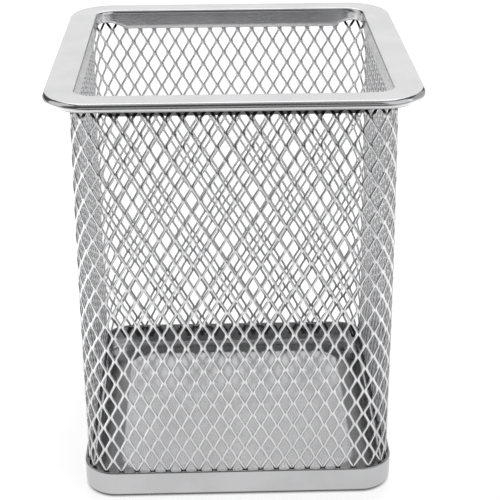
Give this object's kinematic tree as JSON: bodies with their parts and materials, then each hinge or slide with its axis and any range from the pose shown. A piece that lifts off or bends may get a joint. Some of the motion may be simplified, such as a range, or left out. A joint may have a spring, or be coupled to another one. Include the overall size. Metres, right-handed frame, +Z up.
{
  "type": "pen holder cup",
  "caption": "Square open-top desk cup of silver expanded-metal mesh, with a wide pressed rim rolled at its edge and a shallow solid base pan, for pens and pencils",
  "frame": {"origin": "centre of the cup's underside, on the plane it rests on", "axes": "+Z up through the open mouth, +X to the right and +Y to the back as seen by someone who faces the front wall"},
  "size_m": [0.08, 0.08, 0.0985],
  "materials": {
    "mesh_paint": "satin metallic silver",
    "rim_paint": "satin metallic silver",
    "pan_paint": "satin metallic silver"
  },
  "bodies": {
    "root": {"mesh_sleeve": "mesh_paint", "top_rim": "rim_paint", "base_pan": "pan_paint"}
  },
  "joints": []
}
